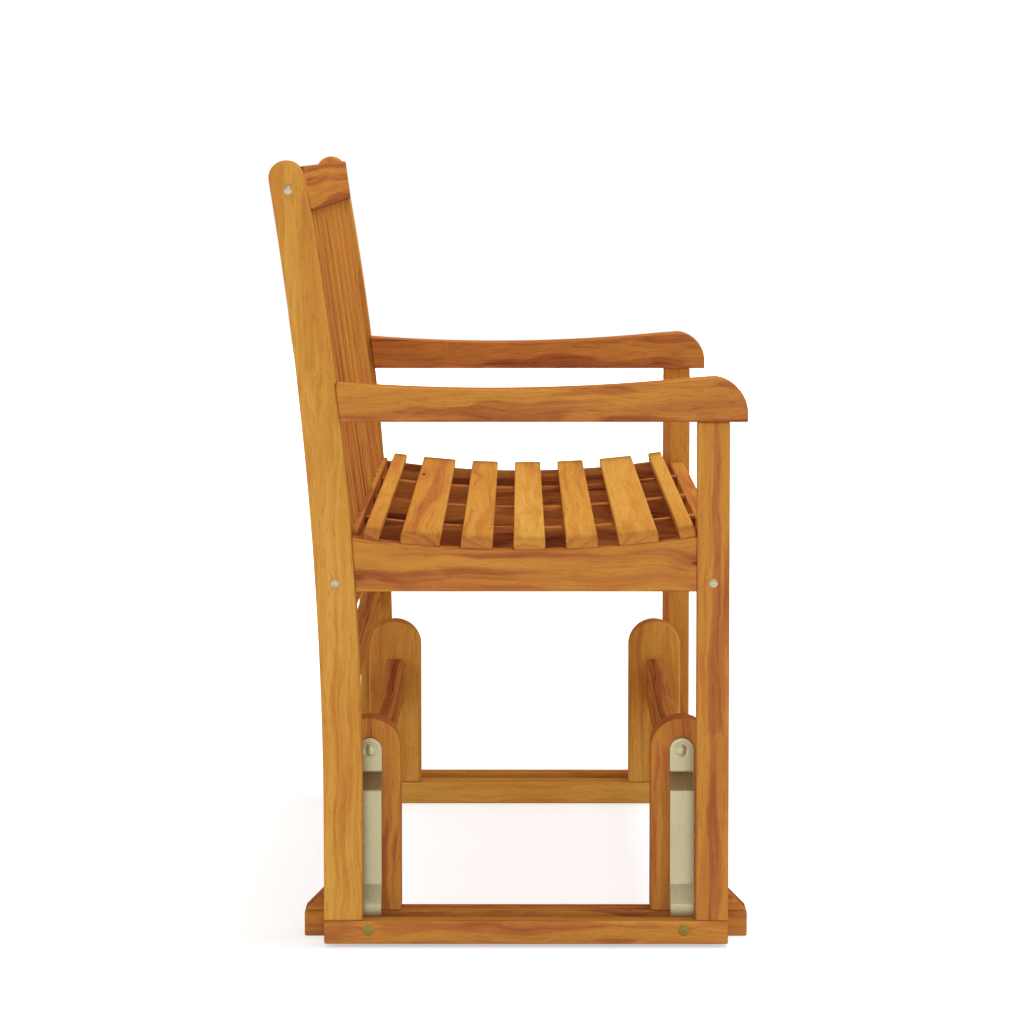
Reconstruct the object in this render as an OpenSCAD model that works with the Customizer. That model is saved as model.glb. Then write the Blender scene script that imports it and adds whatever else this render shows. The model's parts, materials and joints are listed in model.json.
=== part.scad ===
// Gliding swing bench in acacia: a chair frame that hangs from a fixed base on four steel links.
// Millimetres. The sitter faces -Y, right hand at -X. The floor is z = 0.

/* [Overall] */
// Width over the two arms
bench_w = 1200; // [1000:10:1500]
// Clear height of the hanging chair's runners over the floor
runner_clear = 4; // [3:1:20]
// Height of the chair from its runners to the round tops of its rear legs
chair_h = 900; // [860:1:940]

/* [Base] */
// Half the length of a base rail
base_half = 258.5; // [240:0.5:300]
// Height of a base rail
base_rail_h = 30; // [24:1:40]
// Thickness of the rails and posts
base_t = 45; // [35:1:55]
// Width of a post
post_w = 72; // [56:1:84]
// Height of a post's round top over its upper pivot
post_rise = 37; // [36:1:46]
// Height of a cross beam
beam_h = 60; // [40:1:64]
// Thickness of a cross beam
beam_t = 21; // [16:1:30]
// Distance from the upper pivots down to the upper edge of a cross beam
beam_drop = 16; // [12:1:24]
// Distance of the two bolts from the middle of a post, where it stands on the rail
post_bolt_off = 20; // [12:1:24]
// Length of a gusset, from its post to the end of the rail
gusset_len = 41; // [34:1:50]

/* [Links] */
// Height of the lower pivots over the floor, with the links hanging straight down
pivot_low_z = 20; // [18:1:26]
// Distance between a link's two pivots
link_len = 200; // [194:1:204]
// Width of a link
link_w = 28; // [22:1:32]
// Thickness of a link
link_t = 3; // [2:0.5:4]
// Sideways step of each of a link's two bends
link_step = 18; // [10:1:22]
// Length of the link over which a step runs
link_run = 20; // [14:1:26]
// Distance from a pivot to the nearer bend
link_tab = 25; // [18:1:30]

/* [Chair frame] */
// Thickness of the legs and runners
leg_t = 30; // [24:1:36]
// Height of a runner
runner_h = 27; // [22:1:32]
// Width of a front leg
front_leg_w = 37; // [30:1:44]
// Setback of the front legs from the front ends of the base rails, with the links hanging straight down
front_leg_in = 25.5; // [20:0.5:38]
// Width of a rear leg at its foot
rear_leg_w = 44.5; // [36:0.5:50]
// Setback of the rear legs' feet from the rear ends of the base rails, with the links hanging straight down
rear_leg_in = 26; // [12:1:30]
// Height over the runner's sole at which a rear leg's rear edge starts to curve
lean_rear_z = 130; // [90:1:160]
// Radius of a rear leg's rear edge
lean_rear_r = 4700; // [4300:50:6000]
// Height over the runner's sole at which a rear leg's front edge starts to curve
lean_front_z = 170; // [150:1:200]
// Radius of a rear leg's front edge
lean_front_r = 3930; // [3800:10:4500]
// Clear height of the rear stretcher over the rear posts, with the links hanging straight down
stretcher_gap = 10; // [8:1:30]
// Height of the rear stretcher
stretcher_h = 57; // [40:1:70]
// Thickness of the rear stretcher
stretcher_t = 14; // [12:1:24]

/* [Arms] */
// Width of an arm
arm_w = 50; // [42:1:70]
// How far an arm stands out past the leg
arm_out = 5; // [3:1:12]
// Underside of an arm over the runner's sole
arm_z = 603; // [560:1:640]
// Thickness of an arm at its lowest point
arm_t = 37; // [24:1:50]
// Radius of the shallow dip in an arm's top
arm_dip_r = 2300; // [1500:50:4000]
// Distance of the dip's lowest point behind the middle of the bench
arm_dip_y = 40; // [0:1:80]
// Radius of an arm's nose
arm_nose_r = 40; // [20:1:44]
// How far the tip of an arm stands out past the front leg
arm_tip_out = 20; // [12:1:28]

/* [Seat] */
// Lower edge of the side rails over the runner's sole
side_rail_z = 408; // [400:1:420]
// Thickness of a side rail
side_rail_t = 24; // [18:1:27]
// Setback of a side rail from the outer face of the legs
side_rail_in = 3; // [0:1:6]
// Lowest point of the seat curve, where the slats lie, over the runner's sole
seat_low = 456; // [450:1:462]
// Radius of the seat curve
seat_r = 1330; // [1100:10:2500]
// Distance of the seat curve's lowest point behind the middle of the bench
seat_low_y = 3; // [0:1:30]
// Thickness of a seat slat
seat_slat_t = 12; // [10:1:20]
// Width of the first and last seat slats
slat_edge_w = 18; // [14:1:26]
// Width of the second and sixth seat slats
slat_wide_w = 45; // [36:1:50]
// Width of the three middle seat slats
slat_mid_w = 36; // [28:1:42]
// Gap between the rear seat slat and the rear leg
slat_rear_gap = 12; // [8:1:16]
// Gap between the front seat slat and the front leg
slat_front_gap = 1.5; // [1:0.5:4]
// Lower edge of the front and rear seat rails over the runner's sole
cross_rail_z = 390; // [380:1:400]
// Thickness of the front seat rail
front_rail_t = 20; // [16:1:26]
// Top of the front seat rail over the runner's sole
front_rail_top = 470; // [460:1:480]
// Thickness of the rear seat rail
rear_rail_t = 32; // [28:1:34]
// How far the rear seat rail stands out in front of the rear legs
rear_rail_proud = 6; // [0:1:8]
// Top of the rear seat rail over the runner's sole
rear_rail_top = 476; // [470:1:484]
// Thickness of a seat bearer
bearer_t = 22; // [18:1:30]
// Lower edge of the seat bearers over the runner's sole
bearer_z = 424; // [412:1:424]
// Distance between the middles of neighbouring seat bearers
bearer_pitch = 300; // [240:5:330]

/* [Backrest] */
// Lean of the back slats and the top rail, in degrees
back_lean = 7.9; // [7.5:0.1:8.3]
// Number of back slats
back_slats = 15; // [11:1:15]
// Width of a back slat
back_slat_w = 45; // [36:1:48]
// Thickness of a back slat
back_slat_t = 14; // [10:1:18]
// Setback of the slats behind the front faces of their rails
back_slat_in = 6; // [4:1:8]
// Depth of the mortises that hold the back slats
mortise_d = 10; // [6:1:16]
// How far the middle of the top rail's upper face lies under the tops of the rear legs
top_rail_drop = 8; // [5:1:14]
// Height of the top rail
top_rail_h = 53; // [46:1:58]
// Thickness of the top rail
top_rail_t = 30; // [27:1:34]

/* [Hardware] */
// Diameter of the frame bolts
bolt_d = 7; // [6:0.5:8]
// Length of the frame bolts under the head
bolt_len = 80; // [64:1:84]
// Diameter of the frame bolts' heads
bolt_head_d = 11; // [10:0.5:12]
// Height of the frame bolts' heads
bolt_head_h = 3; // [2:0.5:4]
// Height of the seat rail bolts over the runner's sole
rail_bolt_z = 418; // [410:1:424]
// Diameter of the pivot bolts
pivot_d = 8; // [6:0.5:10]
// Diameter of the pivot bolts' heads
pivot_head_d = 14; // [12:0.5:16]
// Height of the pivot bolts' heads
pivot_head_h = 4; // [3:0.5:5]
// Diameter of the pivot washers
washer_d = 18; // [16:0.5:20]
// Thickness of the pivot washers
washer_t = 1.5; // [1:0.1:2]
// Diameter of the insert nuts in the posts
insert_d = 12; // [11:0.5:14]
// Length of the insert nuts in the posts
insert_len = 25; // [20:1:30]
// Diameter of the sleeve nuts in the runners
sleeve_d = 11; // [10:0.5:12]
// Length of the sleeve nuts in the runners
sleeve_len = 20; // [14:1:22]
// Diameter of the sleeve nuts' heads
sleeve_head_d = 14; // [13:0.5:16]
// Height of the sleeve nuts' heads
sleeve_head_h = 1.5; // [1:0.5:2.5]
// Diameter of the slat screws
screw_d = 4; // [3:0.5:5]
// Length of the slat screws
screw_len = 40; // [36:1:40]
// Wood left over the tip of a slat screw
screw_cover = 3; // [2:0.5:5]
// Diameter of the slat screws' heads
screw_head_d = 8; // [7:0.5:9]
// Diameter of the dowels
dowel_d = 8; // [6:0.5:10]
// Half the length of a dowel
dowel_half = 18; // [12:1:19]

/* [Fits] */
// Radial running clearance of a link on its pivot bolt
pivot_fit = 0.05; // [0.02:0.01:0.1]
// Side play of a link between its washers
side_play = 0.3; // [0.2:0.05:0.5]
// Radial clearance of bolts, screws, sleeves and washers in what they don't turn in
bore_fit = 0.1; // [0.05:0.05:0.2]
// Clearance round a back slat in its mortise
mortise_fit = 0.2; // [0.1:0.05:0.4]

/* [Hidden] */
function back_slat_name(n) = str("back_slat_", n < 10 ? "0" : "", n);

// Signs: right hand and front are -1, left hand and rear are +1
RIGHT = -1;
LEFT = 1;
FRONT = -1;
REAR = 1;

WOOD = "#B8743A";
WOOD_LIGHT = "#D99A4A";
WOOD_DARK = "#8F4E2E";
STEEL = "#C0B890";
BRIGHT = "#C9CCCE";
BRASS = "#A89050";

// Stations along X, from the legs inwards to the posts
leg_out = bench_w / 2 - arm_out;
leg_in = leg_out - leg_t;
lower_tab = leg_in - washer_t - side_play - link_t;
upper_tab = lower_tab - 2 * link_step;
post_out = upper_tab - side_play - washer_t;
post_in = post_out - base_t;
slat_end = leg_out - side_rail_in;
side_rail_x = slat_end - side_rail_t;

// Heights over the floor. sole is the underside of the hanging chair.
sole = runner_clear;
pivot_high_z = pivot_low_z + link_len;
post_top = pivot_high_z + post_rise;
beam_z = pivot_high_z - beam_drop - beam_h / 2;
leg_foot = sole + runner_h;
arm_low = sole + arm_z;

// Pivots, and the edges of the legs, on both sides of the bench's middle
pivot_half = base_half - gusset_len - post_w / 2;
front_leg_y = base_half - front_leg_in;
rear_leg_y = base_half - rear_leg_in;
front_leg_back = front_leg_y - front_leg_w;
front_leg_mid = front_leg_y - front_leg_w / 2;
rear_leg_front = rear_leg_y - rear_leg_w;

// How far an edge that starts to curve at height z0 with radius r has moved at height z
function curve_off(z, z0, r) = z <= z0 ? 0 : r - sqrt(r * r - (z - z0) * (z - z0));
function leg_front_at(z) = rear_leg_front + curve_off(z - sole, lean_front_z, lean_front_r);
function leg_rear_at(z) = rear_leg_y + curve_off(z - sole, lean_rear_z, lean_rear_r);
function leg_mid_at(z) = (leg_front_at(z) + leg_rear_at(z)) / 2;

// Round top of a rear leg, square to the leg's lean there
leg_top = sole + chair_h;
top_lean = asin((chair_h - lean_rear_z) / lean_rear_r);
top_r = cos(top_lean) * (leg_rear_at(leg_top - rear_leg_w / 2) - leg_front_at(leg_top - rear_leg_w / 2)) / 2;
top_z = leg_top - top_r;
top_front_z = top_z + top_r * sin(top_lean);
top_rear_z = top_z - top_r * sin(top_lean);
top_y = (leg_front_at(top_front_z) + leg_rear_at(top_rear_z)) / 2;
edge_steps = 24;
round_steps = 16;

// The bench's middle between front and rear stands over the origin
home_y = (base_half - top_y - top_r) / 2;

// Seat curve and the slats on it. Slat edges are listed from the front to the rear.
function seat_at(y) = sole + seat_low + seat_r - sqrt(seat_r * seat_r - (y - seat_low_y) * (y - seat_low_y));
slat_w = [slat_edge_w, slat_wide_w, slat_mid_w, slat_mid_w, slat_mid_w, slat_wide_w, slat_edge_w];
slat_n = len(slat_w);
function sum_to(list, n) = n <= 0 ? 0 : list[n - 1] + sum_to(list, n - 1);
seat_front_y = -front_leg_back + slat_front_gap;
seat_rear_y = leg_front_at(sole + seat_low) - slat_rear_gap;
slat_gap = (seat_rear_y - seat_front_y - sum_to(slat_w, slat_n)) / (slat_n - 1);
function slat_front(i) = seat_front_y + sum_to(slat_w, i) + i * slat_gap;
function slat_rear(i) = slat_front(i) + slat_w[i];
function slat_mid(i) = (slat_front(i) + slat_rear(i)) / 2;
function slat_tilt(i) = atan2(seat_at(slat_rear(i)) - seat_at(slat_front(i)), slat_w[i]);
slat_seats = [for (i = [0 : slat_n - 1]) each [[slat_front(i), seat_at(slat_front(i))],
    [slat_rear(i), seat_at(slat_rear(i))]]];

// Seat rails, front and rear
front_rail_back = -(front_leg_mid - front_rail_t / 2);
rear_rail_front = leg_front_at(sole + rear_rail_top) - rear_rail_proud;
rear_rail_back = rear_rail_front + rear_rail_t;
bearers = [-bearer_pitch, 0, bearer_pitch];
screw_depth = seat_slat_t - screw_cover;

// Backrest: its foot is where the middle of the slats meets the rear rail's top
back_foot_y = rear_rail_front + back_slat_in + back_slat_t / 2;
back_foot_z = sole + rear_rail_top;
back_slat_len = (leg_top - top_rail_drop - back_foot_z) / cos(back_lean) - top_rail_h;
back_slat_pitch = 2 * leg_in / back_slats;
function back_slat_x(n) = (n - (back_slats + 1) / 2) * back_slat_pitch;
top_rail_front = -back_slat_t / 2 - back_slat_in;
top_rail_mid_z = back_foot_z + (back_slat_len + top_rail_h / 2) * cos(back_lean);

// Rear stretcher: it passes over the tops of the rear posts
stretcher_y = rear_leg_y - rear_leg_w / 2 - stretcher_t / 2;
stretcher_low = post_top + stretcher_gap;
stretcher_mid_z = stretcher_low + stretcher_h / 2;

// Arms
arm_tip = front_leg_y + arm_tip_out;
arm_dip_z = arm_low + arm_t;
function arm_top_at(y) = arm_dip_z + arm_dip_r - sqrt(arm_dip_r * arm_dip_r - (y - arm_dip_y) * (y - arm_dip_y));
nose_slope = asin((arm_tip - arm_nose_r + arm_dip_y) / arm_dip_r);
nose_y = -arm_tip + arm_nose_r;
nose_z = arm_top_at(nose_y + arm_nose_r * sin(nose_slope)) - arm_nose_r * cos(nose_slope);
arm_dowel_z = arm_low + arm_t / 2;
side_dowel_z = sole + (rail_bolt_z + seat_low) / 2;

// Bends of a link, down from the upper pivot and out from the upper tab's middle
link_bends = [
    [0, -link_tab], [link_step, -link_tab - link_run],
    [link_step, -link_len + link_tab + link_run], [2 * link_step, -link_len + link_tab]
];
link_mitre = [link_t / 2, link_t / 2 * tan(atan2(link_step, link_run) / 2)];

// Small fixed sizes: hexagon sockets, how far a pivot bolt ends inside its nut, air over a sunk head, cutting
// allowance, facets
socket_af = 4;
socket_d = 2;
bolt_tail = 3;
head_cover = 2;
over = 1;
fine = 48;

// Placing helpers
module home() {
    translate([0, home_y, 0]) children();
}

// Turns a side view, drawn with Y to the right and Z up, into a plate from x0 to x0 + t
module plate(x0, t) {
    translate([x0, 0, 0]) rotate([90, 0, 90]) linear_extrude(t) children();
}

// The same on one side of the bench, from x0 outwards
module side_plate(side, x0, t) {
    plate(side == RIGHT ? -x0 - t : x0, t) children();
}

// Points +Z out of the bench at one side
module outward(side, x) {
    translate([side * x, 0, 0]) rotate([0, side * 90, 0]) children();
}

module in_back() {
    translate([0, back_foot_y, back_foot_z]) rotate([-back_lean, 0, 0]) children();
}

// A cap of a ball, flat side down
module dome(d, h) {
    r = (d * d / 4 + h * h) / (2 * h);
    intersection() {
        translate([0, 0, h - r]) sphere(r, $fn = 2 * fine);
        cylinder(h = h + over, d = d + over, $fn = fine);
    }
}

// A bolt with its head on z = 0 and its shank below, with a hexagon socket
module bolt(d, length, head_d, head_h) {
    translate([0, 0, -length]) cylinder(h = length, d = d, $fn = fine);
    difference() {
        dome(head_d, head_h);
        translate([0, 0, head_h - socket_d]) cylinder(h = socket_d + over, d = socket_af / cos(30), $fn = 6);
    }
}

// The hole for a frame bolt, open above its head
module bolt_hole() {
    translate([0, 0, -bolt_len - over]) cylinder(h = bolt_len + 2 * over, d = bolt_d + 2 * bore_fit, $fn = fine);
}

module bore(d, z0, z1) {
    translate([0, 0, z0]) cylinder(h = z1 - z0, d = d, $fn = fine);
}

module ring(outer, inner, t) {
    difference() {
        cylinder(h = t, d = outer, $fn = fine);
        bore(inner, -over, t + over);
    }
}

// Base bolts. The upright ones hold a post on its rail, the level ones hold a beam between two posts.
bolt_sink = bolt_head_h + head_cover;
module post_bolt_places(side, end) {
    for (off = [-post_bolt_off, post_bolt_off])
        translate([side * (post_out + post_in) / 2, end * pivot_half + off, bolt_sink]) rotate([180, 0, 0]) children();
}

module beam_bolt_place(side, end) {
    translate([0, end * pivot_half, beam_z]) outward(side, post_out) children();
}

module base_rail(side) {
    color(WOOD) home() difference() {
        side_plate(side, post_in, base_t) translate([-base_half, 0]) square([2 * base_half, base_rail_h]);
        for (end = [FRONT, REAR])
            post_bolt_places(side, end) {
                bolt_hole();
                bore(bolt_head_d + 2 * bore_fit, 0, bolt_sink + over);
            }
    }
}

module post(side, end) {
    color(WOOD) home() difference() {
        side_plate(side, post_in, base_t) {
            translate([end * pivot_half - post_w / 2, base_rail_h])
                square([post_w, post_top - post_w / 2 - base_rail_h]);
            translate([end * pivot_half, post_top - post_w / 2]) circle(d = post_w, $fn = 2 * fine);
        }
        post_bolt_places(side, end) bolt_hole();
        beam_bolt_place(side, end) bolt_hole();
        translate([0, end * pivot_half, pivot_high_z]) outward(side, post_out)
            bore(insert_d + 2 * bore_fit, -insert_len - bore_fit, over);
    }
}

module base_gussets() {
    color(WOOD) home() for (side = [RIGHT, LEFT], end = [FRONT, REAR])
        side_plate(side, post_in, base_t)
            polygon([[end * (base_half - gusset_len), base_rail_h], [end * base_half, base_rail_h],
                [end * (base_half - gusset_len), base_rail_h + gusset_len]]);
}

module base_beam(end) {
    color(WOOD_DARK) home() difference() {
        plate(-post_in, 2 * post_in)
            translate([end * pivot_half - beam_t / 2, beam_z - beam_h / 2]) square([beam_t, beam_h]);
        for (side = [RIGHT, LEFT]) beam_bolt_place(side, end) bolt_hole();
    }
}

module base_bolts() {
    color(BRIGHT) home() for (side = [RIGHT, LEFT], end = [FRONT, REAR]) {
        post_bolt_places(side, end) bolt(bolt_d, bolt_len, bolt_head_d, bolt_head_h);
        beam_bolt_place(side, end) bolt(bolt_d, bolt_len, bolt_head_d, bolt_head_h);
    }
}

// Upper pivots: head, washer, link, washer, and an insert nut in the post, from the outside in
upper_head_x = upper_tab + link_t + side_play + washer_t;
insert_x = post_out - insert_len;

module each_upper_pivot() {
    home() for (side = [RIGHT, LEFT], end = [FRONT, REAR])
        translate([0, end * pivot_half, pivot_high_z]) outward(side, 0) children();
}

module upper_pivot_bolts() {
    color(BRIGHT) each_upper_pivot() translate([0, 0, upper_head_x])
        bolt(pivot_d, upper_head_x - insert_x - bolt_tail, pivot_head_d, pivot_head_h);
}

module upper_pivot_washers() {
    color(BRIGHT) each_upper_pivot() for (x = [upper_head_x - washer_t, post_out])
        translate([0, 0, x]) ring(washer_d, pivot_d + 2 * bore_fit, washer_t);
}

module upper_pivot_nuts() {
    color(BRIGHT) each_upper_pivot() translate([0, 0, insert_x])
        ring(insert_d, pivot_d + 2 * bore_fit, insert_len);
}

// A link in its own upright place: side view cut to round ends, front view bent twice
module link(side, end) {
    top = [for (p = link_bends) p + link_mitre];
    under = [for (i = [len(link_bends) - 1 : -1 : 0]) link_bends[i] - link_mitre];
    reach = link_len + link_w / 2;
    color(STEEL) home() translate([side * (upper_tab + link_t / 2), end * pivot_half, pivot_high_z])
        mirror([side == RIGHT ? 1 : 0, 0, 0]) difference() {
            intersection() {
                translate([0, link_w / 2, 0]) rotate([90, 0, 0]) linear_extrude(link_w)
                    polygon(concat([[link_t / 2, link_w / 2]], top, [[2 * link_step + link_t / 2, -reach]],
                        [[2 * link_step - link_t / 2, -reach]], under, [[-link_t / 2, link_w / 2]]));
                plate(-link_t, 2 * link_step + 2 * link_t) {
                    translate([-link_w / 2, -link_len]) square([link_w, link_len]);
                    for (z = [0, -link_len]) translate([0, z]) circle(d = link_w, $fn = 2 * fine);
                }
            }
            for (z = [0, -link_len]) translate([0, 0, z]) outward(LEFT, 0)
                bore(pivot_d + 2 * pivot_fit, -link_t, 2 * link_step + 2 * link_t);
        }
}

// Lower pivots: sleeve nut, runner, washer, link, washer and head, from the outside in
lower_head_x = lower_tab - side_play - washer_t;

module lower_pivot_place(side, end) {
    translate([0, end * pivot_half, pivot_low_z]) outward(side, 0) children();
}

module each_lower_pivot() {
    home() for (side = [RIGHT, LEFT], end = [FRONT, REAR]) lower_pivot_place(side, end) children();
}

module lower_pivot_bolts() {
    color(BRIGHT) each_lower_pivot() translate([0, 0, lower_head_x]) rotate([180, 0, 0])
        bolt(pivot_d, leg_out - bolt_tail - lower_head_x, pivot_head_d, pivot_head_h);
}

module lower_pivot_washers() {
    color(BRIGHT) each_lower_pivot() for (x = [lower_head_x, leg_in - washer_t])
        translate([0, 0, x]) ring(washer_d, pivot_d + 2 * bore_fit, washer_t);
}

module lower_pivot_nuts() {
    color(BRASS) each_lower_pivot() difference() {
        union() {
            bore(sleeve_d, leg_out - sleeve_len, leg_out);
            translate([0, 0, leg_out]) dome(sleeve_head_d, sleeve_head_h);
        }
        bore(pivot_d + 2 * bore_fit, leg_out - sleeve_len - over, leg_out - bolt_tail + bore_fit);
    }
}

// Dowels of the chair frame, each with its middle on a joint face and its axis along +Z there
module leg_dowel_place(side, y, z) {
    translate([side * (leg_in + leg_t / 2), y, z]) children();
}

module foot_dowels(side) {
    for (y = [-front_leg_mid, leg_mid_at(leg_foot)]) leg_dowel_place(side, y, leg_foot) children();
}

module arm_dowels(side) {
    leg_dowel_place(side, -front_leg_mid, arm_low) children();
    leg_dowel_place(side, leg_front_at(arm_dowel_z), arm_dowel_z) rotate([90, 0, 0]) children();
}

module side_rail_dowels(side) {
    for (y = [-front_leg_back, leg_front_at(side_dowel_z)])
        leg_dowel_place(side, y, side_dowel_z) rotate([90, 0, 0]) children();
}

module stretcher_dowel(side) {
    translate([0, stretcher_y + stretcher_t / 2, stretcher_mid_z]) outward(side, leg_in) children();
}

module dowel() {
    bore(dowel_d, -dowel_half, dowel_half);
}

module dowel_hole() {
    bore(dowel_d + 2 * bore_fit, -dowel_half - over, dowel_half + over);
}

module frame_dowels() {
    color(WOOD_LIGHT) home() for (side = [RIGHT, LEFT]) {
        foot_dowels(side) dowel();
        arm_dowels(side) dowel();
        side_rail_dowels(side) dowel();
        stretcher_dowel(side) dowel();
    }
}

// Bolts through the legs into the ends of the cross rails
module rail_bolt_place(side, y, z) {
    translate([0, y, z]) outward(side, leg_out) children();
}

module front_rail_bolt(side) {
    rail_bolt_place(side, -front_leg_mid, sole + rail_bolt_z) children();
}

module rear_rail_bolts(side) {
    rail_bolt_place(side, leg_mid_at(sole + rail_bolt_z), sole + rail_bolt_z) children();
}

module top_rail_bolt(side) {
    rail_bolt_place(side, leg_mid_at(top_rail_mid_z), top_rail_mid_z) children();
}

module frame_bolts() {
    color(BRIGHT) home() for (side = [RIGHT, LEFT]) {
        front_rail_bolt(side) bolt(bolt_d, bolt_len, bolt_head_d, bolt_head_h);
        rear_rail_bolts(side) bolt(bolt_d, bolt_len, bolt_head_d, bolt_head_h);
        top_rail_bolt(side) bolt(bolt_d, bolt_len, bolt_head_d, bolt_head_h);
    }
}

module runner(side) {
    color(WOOD) home() difference() {
        side_plate(side, leg_in, leg_t)
            translate([-front_leg_y, sole]) square([front_leg_y + rear_leg_y, runner_h]);
        foot_dowels(side) dowel_hole();
        for (end = [FRONT, REAR]) lower_pivot_place(side, end) {
            bore(pivot_d + 2 * bore_fit, leg_in - over, leg_out);
            bore(sleeve_d + 2 * bore_fit, leg_out - sleeve_len - bore_fit, leg_out + over);
        }
    }
}

module leg_front(side) {
    color(WOOD) home() difference() {
        side_plate(side, leg_in, leg_t)
            translate([-front_leg_y, leg_foot]) square([front_leg_w, arm_low - leg_foot]);
        foot_dowels(side) dowel_hole();
        arm_dowels(side) dowel_hole();
        side_rail_dowels(side) dowel_hole();
        front_rail_bolt(side) bolt_hole();
    }
}

// Side view of a rear leg: straight foot, two curved edges and a round top
module rear_leg_outline() {
    front = [for (i = [0 : edge_steps]) let (z = leg_foot + (top_front_z - leg_foot) * i / edge_steps)
        [leg_front_at(z), z]];
    crown = [for (i = [1 : round_steps - 1]) let (a = 180 - top_lean - 180 * i / round_steps)
        [top_y + top_r * cos(a), top_z + top_r * sin(a)]];
    rear = [for (i = [edge_steps : -1 : 0]) let (z = leg_foot + (top_rear_z - leg_foot) * i / edge_steps)
        [leg_rear_at(z), z]];
    polygon(concat(front, crown, rear));
}

module leg_rear(side) {
    color(WOOD_LIGHT) home() difference() {
        side_plate(side, leg_in, leg_t) rear_leg_outline();
        foot_dowels(side) dowel_hole();
        arm_dowels(side) dowel_hole();
        side_rail_dowels(side) dowel_hole();
        stretcher_dowel(side) dowel_hole();
        rear_rail_bolts(side) bolt_hole();
        top_rail_bolt(side) bolt_hole();
    }
}

// Side view of an arm: flat under, round nose, shallow dip on top, cut to the rear leg's front edge
module arm_outline() {
    rear_end = leg_mid_at(arm_low);
    nose = [for (i = [0 : round_steps]) let (a = 180 - (90 - nose_slope) * i / round_steps)
        [nose_y + arm_nose_r * cos(a), nose_z + arm_nose_r * sin(a)]];
    start = nose_y + arm_nose_r * sin(nose_slope);
    dip = [for (i = [1 : edge_steps]) let (y = start + (rear_end - start) * i / edge_steps)
        [y, arm_top_at(y)]];
    difference() {
        polygon(concat([[rear_end, arm_low], [-arm_tip, arm_low]], nose, dip));
        rear_leg_outline();
    }
}

module arm(side) {
    color(WOOD) home() difference() {
        side_plate(side, leg_out + arm_out - arm_w, arm_w) arm_outline();
        arm_dowels(side) dowel_hole();
    }
}

// The top edge of a side rail or a bearer is a row of flats, one under each slat
module seat_edge(front, rear, low) {
    polygon(concat([[rear, seat_at(rear)], [rear, sole + low], [front, sole + low], [front, seat_at(front)]],
        slat_seats));
}

module seat_side_rail(side) {
    color(WOOD) home() difference() {
        side_plate(side, side_rail_x, side_rail_t) difference() {
            seat_edge(-front_leg_back, leg_mid_at(sole + seat_low), side_rail_z);
            rear_leg_outline();
        }
        side_rail_dowels(side) dowel_hole();
    }
}

module seat_front_rail() {
    color(WOOD) home() difference() {
        plate(-leg_in, 2 * leg_in)
            translate([front_rail_back - front_rail_t, sole + cross_rail_z])
                square([front_rail_t, front_rail_top - cross_rail_z]);
        for (side = [RIGHT, LEFT]) front_rail_bolt(side) bolt_hole();
    }
}

module seat_rear_rail() {
    color(WOOD_DARK) home() difference() {
        plate(-leg_in, 2 * leg_in)
            translate([rear_rail_front, sole + cross_rail_z]) square([rear_rail_t, rear_rail_top - cross_rail_z]);
        for (side = [RIGHT, LEFT]) rear_rail_bolts(side) bolt_hole();
        back_mortises(-mortise_d, back_slat_t);
    }
}

// Slat screws come up through the bearers. They are all of one length, with their heads sunk to suit.
module slat_screw_place(x, i) {
    translate([x, slat_mid(i), (seat_at(slat_front(i)) + seat_at(slat_rear(i))) / 2 + screw_depth]) children();
}

module slat_screw(fit) {
    head_h = (screw_head_d - screw_d) / 2;
    translate([0, 0, -screw_len]) {
        cylinder(h = head_h, d1 = screw_head_d + 2 * fit, d2 = screw_d + 2 * fit, $fn = fine);
        cylinder(h = screw_len + fit, d = screw_d + 2 * fit, $fn = fine);
    }
}

module seat_bearers() {
    color(WOOD_DARK) home() difference() {
        for (x = bearers)
            plate(x - bearer_t / 2, bearer_t) seat_edge(front_rail_back, rear_rail_front, bearer_z);
        for (x = bearers, i = [0 : slat_n - 1]) slat_screw_place(x, i) {
            slat_screw(bore_fit);
            bore(screw_head_d + 2 * bore_fit, -screw_len - seat_low, -screw_len);
        }
    }
}

module slat_screws() {
    color(BRIGHT) home() for (x = bearers, i = [0 : slat_n - 1]) slat_screw_place(x, i) slat_screw(0);
}

module seat_slat(n) {
    i = n - 1;
    front = [slat_front(i), seat_at(slat_front(i))];
    rear = [slat_rear(i), seat_at(slat_rear(i))];
    rise = seat_slat_t * [-sin(slat_tilt(i)), cos(slat_tilt(i))];
    color(WOOD_LIGHT) home() difference() {
        plate(-slat_end, 2 * slat_end) polygon([front, rear, rear + rise, front + rise]);
        for (x = bearers) slat_screw_place(x, i) slat_screw(bore_fit);
    }
}

module rear_stretcher() {
    color(WOOD_DARK) home() difference() {
        plate(-leg_in, 2 * leg_in) translate([stretcher_y, stretcher_low]) square([stretcher_t, stretcher_h]);
        for (side = [RIGHT, LEFT]) stretcher_dowel(side) dowel_hole();
    }
}

// Mortises for the back slats, in the frame of the backrest
module back_mortises(z0, h) {
    w = back_slat_w + 2 * mortise_fit;
    t = back_slat_t + 2 * mortise_fit;
    in_back() for (n = [1 : back_slats])
        translate([back_slat_x(n) - w / 2, -t / 2, z0 - mortise_fit]) cube([w, t, h + mortise_fit]);
}

module back_top_rail() {
    color(WOOD) home() difference() {
        in_back() translate([-leg_in, top_rail_front, back_slat_len]) cube([2 * leg_in, top_rail_t, top_rail_h]);
        back_mortises(back_slat_len - over, mortise_d + 2 * over);
        for (side = [RIGHT, LEFT]) top_rail_bolt(side) bolt_hole();
    }
}

module back_slat(n) {
    color(WOOD_LIGHT) home() in_back()
        translate([back_slat_x(n) - back_slat_w / 2, -back_slat_t / 2, -mortise_d])
            cube([back_slat_w, back_slat_t, back_slat_len + 2 * mortise_d]);
}

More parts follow.
